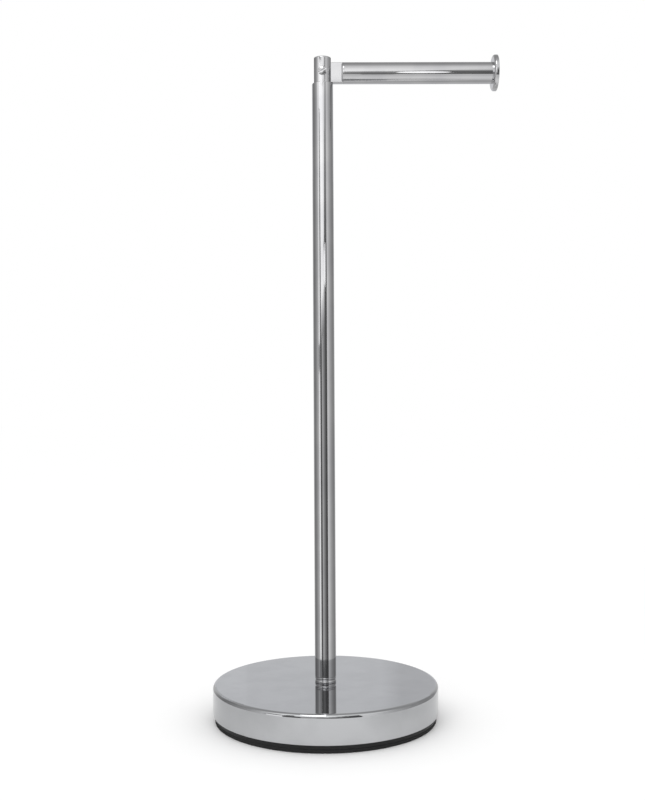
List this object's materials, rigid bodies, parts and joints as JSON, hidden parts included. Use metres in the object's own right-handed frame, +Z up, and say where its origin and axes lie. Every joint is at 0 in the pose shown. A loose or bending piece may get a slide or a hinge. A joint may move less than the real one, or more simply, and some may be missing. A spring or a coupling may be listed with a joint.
{
  "type": "freestanding toilet paper holder",
  "caption": "Freestanding toilet paper holder: a round weighted base, an upright tube and a horizontal roll arm that hinges upwards on a slotted post and ends in a disc.",
  "frame": {"origin": "centre of the foam pad's underside, on the floor under the pole", "axes": "+Z up along the pole, +X along the roll arm, the pivot pin along Y with its slotted head towards -Y"},
  "size_m": [0.2437, 0.19, 0.5622],
  "materials": {
    "chrome_plate": "bright chrome plating on steel, mirror polished",
    "black_plastic": "moulded black ABS, satin",
    "foam_pad": "closed-cell black foam, matt",
    "cement": "cast cement, rough",
    "zinc_steel": "bright zinc plating"
  },
  "bodies": {
    "stand": {"anti_slip_pad": "foam_pad", "base_tray": "black_plastic", "base_weight": "cement", "base_cover": "chrome_plate", "base_bolt": "zinc_steel", "spring_washer": "zinc_steel", "flat_washer": "zinc_steel", "foot_plug": "chrome_plate", "pole_tube": "chrome_plate", "pivot_post": "chrome_plate", "pivot_screw": "chrome_plate"},
    "arm": {"arm_tongue": "chrome_plate", "arm_tube": "chrome_plate", "end_disc": "chrome_plate"}
  },
  "joints": [
    {"name": "arm_pivot", "type": "hinge", "parent": "stand", "child": "arm", "pos_m": [0, 0, 0.5472], "axis": [0, -1, 0], "range_deg": [0, 106]}
  ]
}
